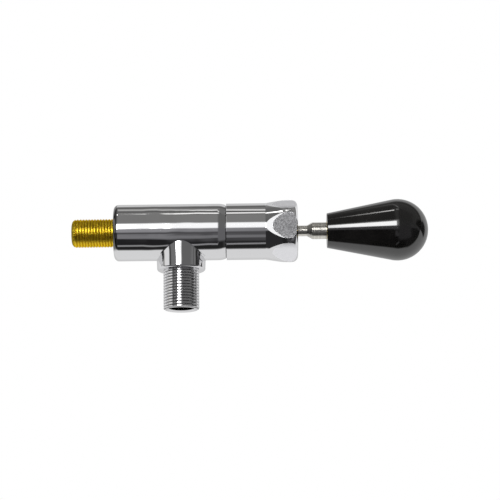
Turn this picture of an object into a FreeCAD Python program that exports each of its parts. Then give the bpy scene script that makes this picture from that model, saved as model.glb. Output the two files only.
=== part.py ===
import FreeCAD, Part
import math
import os

# A self-closing joystick tap, in millimetres. X runs along the body axis, from the rear face
# of the body (X = 0) to the grip. The outlet points down, along -Z. The origin is where the
# inlet thread leaves the body. Threads are plain cylinders at their major diameter.

# Play between pieces, on the radius unless the name says otherwise
slip = 0.05
thread_play = 0.02
face_play = 0.03

# Inlet nipple, G 1/4 outside thread
inlet_thread_d = 13.157
inlet_thread_out = 19.75
inlet_tip_round = 2.3
inlet_bore_d = 8.0
nipple_groove_l = 1.2
nipple_groove_depth = 0.75
nipple_stop_gap = 0.5
spring_pocket_d = 9.8
spring_pocket_l = 8.0

# Body
body_d = 26.4
body_l = 52.0
body_rear_round = 2.2
body_nose_l = 3.5
body_nose_drop = 0.6
inlet_chamber_d = 11.5
outlet_chamber_d = 14.0
spigot_d = 22.0
spigot_l = 8.0
spigot_groove_l = 1.0
spigot_groove_depth = 0.6
spigot_chamfer = 0.5
front_bore_d = 18.0
front_bore_l = 18.0

# Seat in the body
seat_x = 16.2
seat_hole_d = 6.8
seat_rim_d = 8.0
seat_rim_h = 0.8
seat_rim_round = 0.2
seat_wall_t = 2.0

# Outlet boss and outlet nipple, G 3/8 outside thread
outlet_x = 31.2
boss_d = 22.4
boss_draft = 1.9
boss_drop = 18.3
boss_edge_round = 0.9
boss_root_round = 0.6
outlet_thread_d = 16.662
outlet_thread_l = 18.45
outlet_tip_chamfer = 0.8
outlet_tip_chamfer_l = 0.55
outlet_mouth_d = 12.0
outlet_mouth_l = 14.0
outlet_mouth_chamfer = 1.2
outlet_mouth_chamfer_l = 0.8
outlet_bore_d = 10.0
outlet_spigot_d = 14.8
outlet_spigot_l = 8.1
outlet_spigot_gap = 0.2

# Cap, flush with the body, with a flared end
cap_l = 33.65
cap_rear_chamfer = 0.15
cap_thread_gap = 0.5
flare_l = 15.0
flare_slope = 9.4
flare_rise = 1.4
flare_bend = 25.0
cap_end_round = 3.0
cap_flats = 6
cap_flat_step = 0.02
cap_end_wall = 2.5

# Lever
tilt_limit = 15.0
push_arm = 7.0
pivot_depth = 6.8
ball_d = 11.0
foot_d = 16.0
foot_t = 2.2
foot_reach = 7.5
foot_rim_round = 0.4
foot_sweep_play = 0.5
lever_neck_d = 7.0
rod_d = 5.0
rod_out = 4.35
rod_mouth_play = 0.2
cone_l = 2.5
collar_d = 7.8
collar_l = 6.8
stud_d = 5.0
stud_l = 13.2

# Ring with the spherical seat of the ball
ring_d = 15.0
ring_t = 2.6
ring_pocket_l = 5.3

# Grip and its insert
grip_l = 47.35
grip_d = 28.8
grip_small_d = 16.2
grip_edge_round = 0.3
grip_bore_gap = 0.3
insert_d = 9.0
insert_l = 16.0
insert_groove_l = 1.5
insert_groove_depth = 0.5
insert_grooves = 3

# Thrust plate, its lock nut and the push stem
foot_gap = 0.1
plate_d = 17.0
plate_t = 2.0
plate_chamfer = 0.4
plate_hub_d = 11.2
plate_hub_l = 2.2
lock_nut_across_flats = 7.0
lock_nut_t = 2.2
stem_d = 6.0
stem_thread_d = 4.0
stem_thread_spare = 0.3
stem_end_recess = 0.2
stem_neck_d = 4.4
stem_neck_l = 7.2
stem_tail_d = 3.0
stem_tail_l = 6.6

# Seal disc, its washer and its holder
seal_d = 8.6
seal_t = 2.2
seal_proud = 0.2
seal_washer_d = 5.4
seal_washer_t = 0.6
holder_across_flats = 9.6
holder_base_t = 1.6
holder_spigot_d = 6.0
holder_spigot_l = 2.9

# Guide bush and gland
bush_l = 16.0
bush_chamfer = 0.3
bush_slot_w = 2.0
bush_slot_depth = 1.5
bush_ring_section = 1.5
bush_ring_groove_l = 2.0
bush_ring_groove_x = 2.5
gland_depth = 11.0
gland_washer_t = 0.6
gland_spacer_t = 1.0
gland_slot_w = 1.6
gland_slot_depth = 1.5
stem_ring_section = 2.0

# Springs
wire_sides = 8
closing_spring_play = 0.4
closing_wire_d = 0.8
closing_turns = 5.5
return_spring_play = 0.2
return_wire_d = 1.2
return_turns = 4.5

# Places along X, worked out from the sizes above
tilt = math.radians(tilt_limit)
plunger_travel = push_arm * tilt
seal_front_x = seat_x - face_play
seal_back_x = seal_front_x - seal_t
holder_front_x = seal_front_x - seal_proud
holder_back_x = seal_back_x - holder_base_t
nipple_end_x = holder_back_x - plunger_travel - nipple_stop_gap
spring_pocket_x = nipple_end_x - spring_pocket_l
seat_wall_x = seat_x + seat_rim_h
outlet_chamber_x = seat_wall_x + seat_wall_t
spigot_end_x = body_l + spigot_l
bush_back_x = spigot_end_x - front_bore_l
bush_front_x = bush_back_x + bush_l
gland_x = bush_front_x - gland_depth
cap_end_x = body_l + cap_l
cap_wall_x = cap_end_x - cap_end_wall
pivot_x = cap_end_x - pivot_depth
foot_x = pivot_x - foot_reach
plate_front_x = foot_x - foot_gap
plate_back_x = plate_front_x - plate_t
hub_back_x = plate_back_x - plate_hub_l
lock_nut_x = hub_back_x - lock_nut_t
rod_end_x = cap_end_x + rod_out
collar_x = rod_end_x + cone_l
grip_x = collar_x + collar_l

# Widths that follow from what passes through or fits inside
cavity_d = 2 * (foot_d / 2 * math.cos(tilt) + foot_reach * math.sin(tilt) + foot_sweep_play)
gland_d = stem_d + 2 * stem_ring_section
bush_ring_floor_d = front_bore_d - 2 * bush_ring_section
closing_spring_d = spring_pocket_d - 2 * closing_spring_play
return_spring_d = plate_hub_d + 2 * (return_spring_play + return_wire_d)


def vector(x, y=0.0, z=0.0):
    return FreeCAD.Vector(x, y, z)


x_axis = vector(1)
y_axis = vector(0, 1)


def rod_room(distance):
    """Radius that the tilted rod needs at this distance from the ball's centre."""
    return distance * math.tan(tilt) + rod_d / 2 / math.cos(tilt) + rod_mouth_play


def outline(corners):
    """A closed face from corners (along the axis, radius) or (along, radius, rounding)."""
    points = [vector(c[0], 0, c[1]) for c in corners]
    rounds = [c[2] if len(c) > 2 else 0.0 for c in corners]
    starts, ends, arcs = [], [], []
    for i, corner in enumerate(points):
        before = points[i - 1] - corner
        after = points[(i + 1) % len(points)] - corner
        middle = before.normalize() + after.normalize()
        half = before.getAngle(after) / 2
        back = rounds[i] / math.tan(half) if rounds[i] else 0.0
        starts.append(corner + before * back)
        ends.append(corner + after * back)
        top = None
        if rounds[i]:
            depth = rounds[i] / math.sin(half) - rounds[i]
            top = corner + middle.normalize() * depth
        arcs.append(top)
    edges = []
    for i in range(len(points)):
        if arcs[i]:
            edges.append(Part.Arc(starts[i], arcs[i], ends[i]).toShape())
        following = starts[(i + 1) % len(points)]
        if ends[i].distanceToPoint(following) > 1e-6:
            edges.append(Part.LineSegment(ends[i], following).toShape())
    return Part.Face(Part.Wire(edges))


def turned(corners):
    """A piece turned about the X axis."""
    return outline(corners).revolve(vector(0), x_axis, 360)


def turned_down(corners):
    """A piece turned about the outlet's axis, where along counts down from the body axis."""
    piece = turned(corners)
    piece.rotate(vector(0), y_axis, 90)
    piece.translate(vector(outlet_x))
    return piece


def ring(back_x, front_x, bore_d, outer_d):
    """A plain washer or bush about the X axis."""
    return turned([
        (back_x, bore_d / 2),
        (back_x, outer_d / 2),
        (front_x, outer_d / 2),
        (front_x, bore_d / 2),
    ])


def rod(back_x, front_x, diameter):
    return Part.makeCylinder(diameter / 2, front_x - back_x, vector(back_x), x_axis)


def seal_ring(x, inner_d, outer_d):
    """A rubber ring that fills the room between two walls, less its play."""
    section = (outer_d - inner_d) / 4 - slip
    return Part.makeTorus((inner_d + outer_d) / 4, section, vector(x), x_axis)


def hexagon(back_x, length, across_flats):
    """A hexagonal bar along X, its corners turned down a little at both ends."""
    corner = across_flats / math.sqrt(3)
    points = []
    for i in range(7):
        angle = math.radians(60 * i)
        points.append(vector(back_x, corner * math.cos(angle), corner * math.sin(angle)))
    bar = Part.Face(Part.makePolygon(points)).extrude(vector(length))
    turn = (corner - across_flats / 2) * 0.6
    front_x = back_x + length
    blank = turned([
        (back_x, 0),
        (back_x, corner - turn),
        (back_x + turn * 0.6, corner),
        (front_x - turn * 0.6, corner),
        (front_x, corner - turn),
        (front_x, 0),
    ])
    return bar.common(blank)


def slot(front_x, depth, width, span):
    """A cutter for a screwdriver slot in a front face."""
    corner = vector(front_x - depth, -span / 2, -width / 2)
    return Part.makeBox(2 * depth, span, width, corner)


def coil_spring(back_x, front_x, outer_d, wire_d, turns):
    """A compression spring along X, ends ground flat, its wire a prism with few faces."""
    back_x += face_play
    front_x -= face_play
    radius = (outer_d - wire_d) / 2
    length = front_x - back_x
    helix = Part.makeHelix(length / turns, length, radius)
    along = vector(0, 2 * math.pi * radius, length / turns)
    circle = Part.Circle(vector(radius), along, wire_d / 2)
    points = [circle.value(2 * math.pi * i / wire_sides) for i in range(wire_sides)]
    wire = Part.makePolygon(points + points[:1])
    coil = Part.Wire(helix).makePipeShell([wire], True, True)
    coil.rotate(vector(0), y_axis, 90)
    coil.translate(vector(back_x))
    return coil.common(rod(back_x, front_x, outer_d + wire_d))


def inlet_nipple():
    thread_r = inlet_thread_d / 2
    groove_r = thread_r - nipple_groove_depth
    return turned([
        (-inlet_thread_out, inlet_bore_d / 2),
        (-inlet_thread_out, thread_r, inlet_tip_round),
        (0, thread_r),
        (0, groove_r),
        (nipple_groove_l, groove_r),
        (nipple_groove_l, thread_r),
        (nipple_end_x, thread_r),
        (nipple_end_x, spring_pocket_d / 2),
        (spring_pocket_x, spring_pocket_d / 2),
        (spring_pocket_x, inlet_bore_d / 2),
    ])


def body_shell():
    """The outside of the body, with the spigot that carries the cap's thread."""
    outer_r = body_d / 2
    nose_radius = (body_nose_l**2 + body_nose_drop**2) / (2 * body_nose_drop)
    nose_corner = body_nose_l - nose_radius * math.tan(math.asin(body_nose_l / nose_radius) / 2)
    spigot_r = spigot_d / 2
    groove_r = spigot_r - spigot_groove_depth
    return turned([
        (0, 0),
        (0, outer_r, body_rear_round),
        (body_l - nose_corner, outer_r, nose_radius),
        (body_l, outer_r - body_nose_drop),
        (body_l, groove_r),
        (body_l + spigot_groove_l, groove_r),
        (body_l + spigot_groove_l, spigot_r),
        (spigot_end_x - spigot_chamfer, spigot_r),
        (spigot_end_x, spigot_r - spigot_chamfer),
        (spigot_end_x, 0),
    ])


def outlet_boss():
    root_r = boss_d / 2 + boss_drop * math.tan(math.radians(boss_draft))
    return turned_down([
        (0, 0),
        (0, root_r),
        (boss_drop, boss_d / 2, boss_edge_round),
        (boss_drop, 0),
    ])


def body_bore():
    """What is bored out along the body: inlet thread, chambers, seat and bush bore."""
    thread_r = inlet_thread_d / 2 + thread_play
    thread_end_x = nipple_end_x + nipple_stop_gap
    front_r = front_bore_d / 2
    return turned([
        (-body_rear_round, 0),
        (-body_rear_round, thread_r),
        (thread_end_x, thread_r),
        (thread_end_x, inlet_chamber_d / 2),
        (seat_wall_x, inlet_chamber_d / 2),
        (seat_wall_x, seat_rim_d / 2),
        (seat_x, seat_rim_d / 2, seat_rim_round),
        (seat_x, seat_hole_d / 2, seat_rim_round),
        (outlet_chamber_x, seat_hole_d / 2),
        (outlet_chamber_x, outlet_chamber_d / 2),
        (bush_back_x, outlet_chamber_d / 2),
        (bush_back_x, front_r),
        (spigot_end_x + spigot_chamfer, front_r),
        (spigot_end_x + spigot_chamfer, 0),
    ])


def outlet_passage():
    """What is bored up into the boss: the outlet nipple's hole and the way to the chamber."""
    shoulder = boss_drop - outlet_spigot_l - outlet_spigot_gap
    hole_r = outlet_spigot_d / 2 + thread_play
    return turned_down([
        (0, 0),
        (0, outlet_bore_d / 2),
        (shoulder, outlet_bore_d / 2),
        (shoulder, hole_r),
        (boss_drop + boss_edge_round, hole_r),
        (boss_drop + boss_edge_round, 0),
    ])


def tap_body():
    shell = body_shell().fuse(outlet_boss())
    root = [e for e in shell.Edges if isinstance(e.Curve, Part.BSplineCurve)]
    shell = shell.makeFillet(boss_root_round, root)
    return shell.cut(body_bore()).cut(outlet_passage())


def outlet_nipple():
    thread_r = outlet_thread_d / 2
    mouth_r = outlet_mouth_d / 2
    bore_r = outlet_bore_d / 2
    end = boss_drop + outlet_thread_l
    top = boss_drop - outlet_spigot_l
    mouth_top = end - outlet_mouth_l
    return turned_down([
        (top, bore_r),
        (top, outlet_spigot_d / 2),
        (boss_drop, outlet_spigot_d / 2),
        (boss_drop, thread_r),
        (end - outlet_tip_chamfer_l, thread_r),
        (end, thread_r - outlet_tip_chamfer),
        (end, mouth_r + outlet_mouth_chamfer),
        (end - outlet_mouth_chamfer_l, mouth_r),
        (mouth_top, mouth_r),
        (mouth_top - (mouth_r - bore_r), bore_r),
    ])


def cap():
    """The cap: the flare leaves the cylinder at a crease, and bends near the front to level."""
    cap_r = body_d / 2
    flare_r = cap_r + flare_rise
    flare_x = cap_end_x - flare_l
    bend_x = flare_x + flare_rise / math.tan(math.radians(flare_slope))
    thread_r = spigot_d / 2 + thread_play
    pocket_r = ring_d / 2 + slip
    pocket_x = cap_wall_x - ring_pocket_l
    shell = turned([
        (body_l, thread_r),
        (body_l, cap_r - cap_rear_chamfer),
        (body_l + cap_rear_chamfer, cap_r),
        (flare_x, cap_r),
        (bend_x, flare_r, flare_bend),
        (cap_end_x, flare_r, cap_end_round),
        (cap_end_x, rod_room(pivot_depth)),
        (cap_wall_x, rod_room(pivot_depth - cap_end_wall)),
        (cap_wall_x, pocket_r),
        (pocket_x, pocket_r),
        (pocket_x, cavity_d / 2),
        (spigot_end_x + cap_thread_gap, cavity_d / 2),
        (spigot_end_x + cap_thread_gap, thread_r),
    ])
    flat_y = cap_r + cap_flat_step
    corner = vector(flare_x, -2 * flare_r, -flare_r)
    for i in range(cap_flats):
        beyond = Part.makeBox(2 * flare_l, 2 * flare_r - flat_y, 2 * flare_r, corner)
        beyond.rotate(vector(0), x_axis, 360 / cap_flats * i)
        shell = shell.cut(beyond)
    return shell


def ball_seat_ring():
    front_x = cap_wall_x - face_play
    bore_d = 2 * rod_room(front_x - pivot_x)
    blank = ring(front_x - ring_t, front_x, bore_d, ring_d)
    return blank.cut(Part.makeSphere(ball_d / 2 + slip, vector(pivot_x)))


def joystick_lever():
    foot = turned([
        (foot_x, 0),
        (foot_x, foot_d / 2, foot_rim_round),
        (foot_x + foot_t, foot_d / 2),
        (foot_x + foot_t, lever_neck_d / 2),
        (pivot_x, lever_neck_d / 2),
        (pivot_x, 0),
    ])
    ball = Part.makeSphere(ball_d / 2, vector(pivot_x))
    stalk = turned([
        (pivot_x, 0),
        (pivot_x, rod_d / 2),
        (rod_end_x, rod_d / 2),
        (collar_x, collar_d / 2),
        (grip_x, collar_d / 2),
        (grip_x, stud_d / 2),
        (grip_x + stud_l, stud_d / 2),
        (grip_x + stud_l, 0),
    ])
    return foot.fuse([ball, stalk]).removeSplitter()


def insert_corners(play):
    """The outside of the grip's insert, widened by a play for the hole that it fills."""
    outer_r = insert_d / 2 + play
    groove_r = outer_r - insert_groove_depth
    pitch = insert_l / (insert_grooves + 1)
    corners = [(grip_x, outer_r)]
    for i in range(insert_grooves):
        middle = grip_x + pitch * (i + 1)
        corners += [
            (middle - insert_groove_l / 2 + play, outer_r),
            (middle - insert_groove_l / 2 + play, groove_r),
            (middle + insert_groove_l / 2 - play, groove_r),
            (middle + insert_groove_l / 2 - play, outer_r),
        ]
    corners.append((grip_x + insert_l, outer_r))
    return corners


def knob_insert():
    bore_r = stud_d / 2 + thread_play
    back = [(grip_x, bore_r)]
    front = [(grip_x + insert_l, bore_r)]
    return turned(back + insert_corners(0.0) + front)


def knob():
    """The grip: a cone that runs into a ball end."""
    ball_r = grip_d / 2
    small_r = grip_small_d / 2
    centre_x = grip_x + grip_l - ball_r
    reach = centre_x - grip_x
    span = math.hypot(reach, small_r)
    join_turn = math.atan2(small_r, -reach) - math.acos(ball_r / span)
    centre = vector(centre_x)
    join = centre + vector(math.cos(join_turn), 0, math.sin(join_turn)) * ball_r
    top = centre + vector(math.cos(join_turn / 2), 0, math.sin(join_turn / 2)) * ball_r
    start = vector(grip_x, 0, small_r)
    end = vector(centre_x + ball_r)
    foot = vector(grip_x)
    face = Part.Face(Part.Wire([
        Part.LineSegment(foot, start).toShape(),
        Part.LineSegment(start, join).toShape(),
        Part.Arc(join, top, end).toShape(),
        Part.LineSegment(end, foot).toShape(),
    ]))
    grip = face.revolve(vector(0), x_axis, 360)
    rim = [e for e in grip.Edges if e.BoundBox.XMax < grip_x + grip_edge_round]
    grip = grip.makeFillet(grip_edge_round, [e for e in rim if e.Length > grip_small_d])
    hole_end_x = grip_x + insert_l + grip_bore_gap
    hole_r = insert_d / 2 + thread_play
    hole = turned(
        [(grip_x - grip_edge_round, 0), (grip_x - grip_edge_round, hole_r)]
        + insert_corners(thread_play)
        + [(hole_end_x, hole_r), (hole_end_x, 0)]
    )
    return grip.cut(hole)


def thrust_plate():
    bore_r = stem_thread_d / 2 + thread_play
    return turned([
        (hub_back_x, bore_r),
        (hub_back_x, plate_hub_d / 2),
        (plate_back_x, plate_hub_d / 2),
        (plate_back_x, plate_d / 2 - plate_chamfer),
        (plate_back_x + plate_chamfer, plate_d / 2),
        (plate_front_x - plate_chamfer, plate_d / 2),
        (plate_front_x, plate_d / 2 - plate_chamfer),
        (plate_front_x, bore_r),
    ])


def stem_lock_nut():
    nut = hexagon(lock_nut_x, lock_nut_t, lock_nut_across_flats)
    return nut.cut(rod(lock_nut_x, hub_back_x, stem_thread_d + 2 * thread_play))


def valve_stem():
    neck_x = seal_front_x + seal_washer_t
    stem_x = neck_x + stem_neck_l
    thread_x = lock_nut_x - stem_thread_spare
    end_x = plate_front_x - stem_end_recess
    step = (stem_d - stem_neck_d) / 2
    return turned([
        (neck_x - stem_tail_l, 0),
        (neck_x - stem_tail_l, stem_tail_d / 2),
        (neck_x, stem_tail_d / 2),
        (neck_x, stem_neck_d / 2),
        (stem_x, stem_neck_d / 2),
        (stem_x + step, stem_d / 2),
        (thread_x, stem_d / 2),
        (thread_x, stem_thread_d / 2),
        (end_x, stem_thread_d / 2),
        (end_x, 0),
    ])


def seal_washer():
    bore_d = stem_tail_d + 2 * thread_play
    return ring(seal_front_x, seal_front_x + seal_washer_t, bore_d, seal_washer_d)


def seal_disc():
    bore_d = stem_tail_d + 2 * thread_play
    return ring(seal_back_x, seal_front_x, bore_d, seal_d)


def seal_holder():
    head = hexagon(holder_back_x, holder_front_x - holder_back_x, holder_across_flats)
    spigot = rod(holder_back_x - holder_spigot_l, holder_back_x, holder_spigot_d)
    recess = rod(seal_back_x, seat_x, seal_d + 2 * thread_play)
    hole = rod(0, seat_x, stem_tail_d + 2 * thread_play)
    return head.fuse(spigot).cut([recess, hole])


def guide_bush():
    outer_r = front_bore_d / 2 - thread_play
    groove_x = bush_back_x + bush_ring_groove_x
    groove_end_x = groove_x + bush_ring_groove_l
    bush = turned([
        (bush_back_x, stem_d / 2 + slip),
        (bush_back_x, outer_r - bush_chamfer),
        (bush_back_x + bush_chamfer, outer_r),
        (groove_x, outer_r),
        (groove_x, bush_ring_floor_d / 2),
        (groove_end_x, bush_ring_floor_d / 2),
        (groove_end_x, outer_r),
        (bush_front_x - bush_chamfer, outer_r),
        (bush_front_x, outer_r - bush_chamfer),
        (bush_front_x, gland_d / 2),
        (gland_x, gland_d / 2),
        (gland_x, stem_d / 2 + slip),
    ])
    spanner_slots = slot(bush_front_x, bush_slot_depth, bush_slot_w, 2 * front_bore_d)
    keep = rod(gland_x, 2 * bush_front_x, return_spring_d + return_wire_d)
    return bush.cut(spanner_slots.cut(keep))


def bush_o_ring():
    x = bush_back_x + bush_ring_groove_x + bush_ring_groove_l / 2
    return seal_ring(x, bush_ring_floor_d, front_bore_d)


def gland_stack():
    """Where each layer in the gland starts: washer, ring, spacer, ring, washer, nut."""
    layers = [
        gland_washer_t,
        stem_ring_section,
        gland_spacer_t,
        stem_ring_section,
        gland_washer_t,
    ]
    starts = [gland_x]
    for thickness in layers:
        starts.append(starts[-1] + thickness)
    return starts


def gland_washers():
    starts = gland_stack()
    bore_d = stem_d + 2 * slip
    outer_d = gland_d - 2 * slip
    pieces = [ring(starts[i], starts[i + 1], bore_d, outer_d) for i in (0, 2, 4)]
    return Part.makeCompound(pieces)


def stem_o_rings():
    starts = gland_stack()
    middles = [(starts[i] + starts[i + 1]) / 2 for i in (1, 3)]
    return Part.makeCompound([seal_ring(x, stem_d, gland_d) for x in middles])


def gland_nut():
    back_x = gland_stack()[-1]
    nut = ring(back_x, bush_front_x, stem_d + 2 * slip, gland_d - 2 * thread_play)
    return nut.cut(slot(bush_front_x, gland_slot_depth, gland_slot_w, gland_d))


def closing_spring():
    return coil_spring(
        spring_pocket_x, holder_back_x, closing_spring_d, closing_wire_d, closing_turns
    )


def return_spring():
    return coil_spring(
        bush_front_x, plate_back_x, return_spring_d, return_wire_d, return_turns
    )


pieces = [
    inlet_nipple,
    tap_body,
    outlet_nipple,
    cap,
    ball_seat_ring,
    joystick_lever,
    knob_insert,
    knob,
    thrust_plate,
    stem_lock_nut,
    valve_stem,
    seal_washer,
    seal_disc,
    seal_holder,
    guide_bush,
    bush_o_ring,
    gland_washers,
    stem_o_rings,
    gland_nut,
    closing_spring,
    return_spring,
]

os.makedirs("parts", exist_ok=True)
for piece in pieces:
    shape = piece()
    name = piece.__name__
    shape.exportStep("parts/" + name + ".step")
    print(name, len(shape.Solids), "valid" if shape.isValid() else "NOT VALID", round(shape.Volume, 1))
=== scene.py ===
import math

import bpy
from bpy.props import FloatProperty, FloatVectorProperty, IntProperty, PointerProperty
from mathutils import Matrix, Vector


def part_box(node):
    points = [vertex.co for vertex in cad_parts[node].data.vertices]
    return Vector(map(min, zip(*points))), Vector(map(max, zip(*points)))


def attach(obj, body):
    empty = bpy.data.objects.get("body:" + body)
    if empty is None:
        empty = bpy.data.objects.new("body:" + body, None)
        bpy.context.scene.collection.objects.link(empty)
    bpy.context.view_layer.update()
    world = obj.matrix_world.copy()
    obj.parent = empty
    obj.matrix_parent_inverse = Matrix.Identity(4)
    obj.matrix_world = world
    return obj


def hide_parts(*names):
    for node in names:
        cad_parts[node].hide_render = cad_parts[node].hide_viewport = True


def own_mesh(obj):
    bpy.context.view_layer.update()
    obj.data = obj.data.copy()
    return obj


# A self-closing joystick tap. X runs along the body axis, from the rear face of the body
# (X = 0) to the grip, and the outlet points down. Outlines are in millimetres, as pairs of
# the distance along the axis and the radius; meshes are in metres.

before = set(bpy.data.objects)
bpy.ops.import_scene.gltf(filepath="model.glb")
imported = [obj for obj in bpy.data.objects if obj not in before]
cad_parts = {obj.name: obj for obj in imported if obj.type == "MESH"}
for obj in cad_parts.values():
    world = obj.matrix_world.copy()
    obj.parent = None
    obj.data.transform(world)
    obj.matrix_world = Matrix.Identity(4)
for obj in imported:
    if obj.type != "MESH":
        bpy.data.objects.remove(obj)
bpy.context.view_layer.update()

bl_info = {
    "name": "Joystick tap",
    "version": (1, 0, 0),
    "blender": (4, 5, 0),
    "location": "3D View > Sidebar > Tap",
    "description": "Models and finishes the pieces of a self-closing joystick tap",
    "category": "Object",
}

MM = 0.001


def low(node):
    """A node's lowest corner in millimetres."""
    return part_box(node)[0] / MM


def high(node):
    """A node's highest corner in millimetres."""
    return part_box(node)[1] / MM


# Places that the pieces take from the frame, in millimetres
body_r = high("tap_body").y
seam_x = low("cap").x
spigot_end_x = high("tap_body").x
cap_end_x = high("cap").x
flare_r = high("cap").z
outlet_x = (low("outlet_nipple").x + high("outlet_nipple").x) / 2
outlet_r = high("outlet_nipple").y
outlet_top = -high("outlet_nipple").z
outlet_end = -low("outlet_nipple").z
boss_end = -low("tap_body").z
inlet_r = high("inlet_nipple").y
inlet_tip_x = low("inlet_nipple").x
nipple_end_x = high("inlet_nipple").x
seat_ring_r = high("ball_seat_ring").y
foot_x = low("joystick_lever").x
foot_r = high("joystick_lever").y
stud_end_x = high("joystick_lever").x
grip_x = low("knob").x
grip_end_x = high("knob").x
grip_r = high("knob").y
insert_r = high("knob_insert").y
insert_end_x = high("knob_insert").x

# Sizes that no node's box gives, in millimetres
play = 0.02
merge_gap = 0.002
cut_gap = 0.0005
thread_flank = 27.5
thread_rounding = 0.1373
thread_room = 0.01
inlet_crest_flat = 0.44
outlet_crest_flat = 0.54

inlet_bore_r = 4.0
inlet_tip_round = 2.3
nipple_groove_l = 1.2
nipple_groove_depth = 0.75
spring_pocket_r = 4.9
spring_pocket_x = 2.04

outlet_bore_r = 5.0
outlet_spigot_r = 7.4
outlet_tip_chamfer = 0.8
outlet_tip_chamfer_l = 0.55
outlet_mouth_r = 6.0
outlet_mouth_l = 14.0
outlet_mouth_chamfer = 1.2
outlet_mouth_chamfer_l = 0.8

spigot_r = 11.0
cap_thread_gap = 0.5
cap_room_r = 10.17
cap_end_wall = 2.5
cap_flats = 6
seam_w = 0.4
seam_depth = 0.95
seam_chamfer = 0.1
ring_play = 0.05
ring_pocket_l = 5.3
rod_mouth_r = 4.61
rod_mouth_draft = 0.67

pivot_x = cap_end_x - 6.8
ball_r = 5.5
foot_t = 2.2
lever_neck_r = 3.5
rod_r = 2.5
collar_r = 3.9
rod_end_x = cap_end_x + 4.35
collar_x = rod_end_x + 2.5
grip_small_r = 8.1
grip_bore_gap = 0.3

closing_wire_r = 0.4
closing_half_turns = 11
return_wire_r = 0.6
return_half_turns = 9

# Where painted shade darkens the chrome and a painted highlight brightens it, in millimetres
seam_shade_r = body_r - 0.8
rim_shade_x = 1.5
rim_shade_r = body_r - 3.2
rim_shade_z = -10.5
rim_shade_y = -6.0
flare_highlight_x = cap_end_x - 15.2
flare_highlight_z = 1.0
arch_x = cap_end_x - 11.9
arch_spread = 6.5


class TapSizes(bpy.types.PropertyGroup):
    """Sizes of the pieces that are modelled here"""
    steps: IntProperty(
        name="Steps", description="Faces round each turned piece", default=256, min=24)
    thread_steps: IntProperty(
        name="Thread steps", description="Faces round each turn of a thread", default=96, min=24)
    thread_pitch: FloatProperty(
        name="Thread pitch", description="Pitch of both pipe threads, 19 to the inch",
        default=1.337 * MM, unit="LENGTH", precision=5)
    thread_depth: FloatProperty(
        name="Thread depth", description="From the crest to the root of both threads",
        default=0.856 * MM, unit="LENGTH", precision=5)
    flare_length: FloatProperty(
        name="Flare length", description="Length of the cap's flared end",
        default=15.0 * MM, unit="LENGTH", precision=5)
    flare_slope: FloatProperty(
        name="Flare slope", description="Slope at which the flare leaves the cap's cylinder",
        default=math.radians(9.4), unit="ROTATION")
    flare_bend: FloatProperty(
        name="Flare bend", description="Radius over which the flare bends to level",
        default=25 * MM, unit="LENGTH", precision=5)
    cap_end_round: FloatProperty(
        name="Cap end round", description="Rounding of the cap's front edge",
        default=3.0 * MM, unit="LENGTH", precision=5)
    flat_step: FloatProperty(
        name="Flat step", description="How far the cap's flats stand above its cylinder",
        default=0.02 * MM, unit="LENGTH", precision=5)


class TapColours(bpy.types.PropertyGroup):
    """Colours of the finishes"""
    chrome: FloatVectorProperty(
        name="Chrome", description="Reflection of the polished chrome plate",
        default=(0.70, 0.70, 0.71), subtype="COLOR", min=0, max=1)
    brass: FloatVectorProperty(
        name="Brass", description="Reflection of the unplated brass",
        default=(0.84, 0.60, 0.04), subtype="COLOR", min=0, max=1)
    steel: FloatVectorProperty(
        name="Steel", description="Reflection of the turned stainless steel",
        default=(0.70, 0.68, 0.63), subtype="COLOR", min=0, max=1)
    grip: FloatVectorProperty(
        name="Grip", description="Colour of the moulded grip",
        default=(0.0025, 0.0022, 0.002), subtype="COLOR", min=0, max=1)
    plastic: FloatVectorProperty(
        name="Plastic", description="Colour of the white plastic rings",
        default=(0.82, 0.82, 0.79), subtype="COLOR", min=0, max=1)
    rubber: FloatVectorProperty(
        name="Rubber", description="Colour of the seals",
        default=(0.02, 0.02, 0.02), subtype="COLOR", min=0, max=1)


class TapStage(bpy.types.PropertyGroup):
    """Camera, floor and lamp"""
    aim: FloatVectorProperty(
        name="Aim", description="Middle of the camera's picture",
        default=(63.3 * MM, 0.0, -8.8 * MM), subtype="XYZ", unit="LENGTH", precision=5)
    distance: FloatProperty(
        name="Distance", description="From the camera to the middle of its picture",
        default=0.8865, unit="LENGTH")
    elevation: FloatProperty(
        name="Elevation", description="Height of the camera over the horizon",
        default=math.radians(-12), unit="ROTATION")
    roll: FloatProperty(
        name="Roll", description="Turn of the camera about its own view",
        default=math.radians(-0.71), unit="ROTATION")
    lens: FloatProperty(
        name="Lens", description="Focal length in millimetres on a 36 mm sensor", default=136.8)
    floor_z: FloatProperty(
        name="Floor height", description="Height of the floor under the tap",
        default=-0.26, unit="LENGTH")
    floor_size: FloatProperty(
        name="Floor size", description="Length of the floor's sides", default=4.0, unit="LENGTH")
    lamp_place: FloatVectorProperty(
        name="Lamp place", description="Where the large soft lamp hangs",
        default=(-0.35, -0.75, 0.65), subtype="XYZ", unit="LENGTH")
    lamp_size: FloatVectorProperty(
        name="Lamp size", description="Width and height of the large soft lamp",
        default=(0.6, 0.4), size=2, unit="LENGTH")
    lamp_power: FloatProperty(
        name="Lamp power", description="Power of the large soft lamp in watts", default=9.0)


def arc(centre, radius, start, end, count):
    """Points on an arc, from one angle to another in degrees, 0 along the axis."""
    points = []
    for i in range(count + 1):
        angle = math.radians(start + (end - start) * i / count)
        points.append((
            centre[0] + radius * math.cos(angle),
            centre[1] + radius * math.sin(angle),
        ))
    return points


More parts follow.
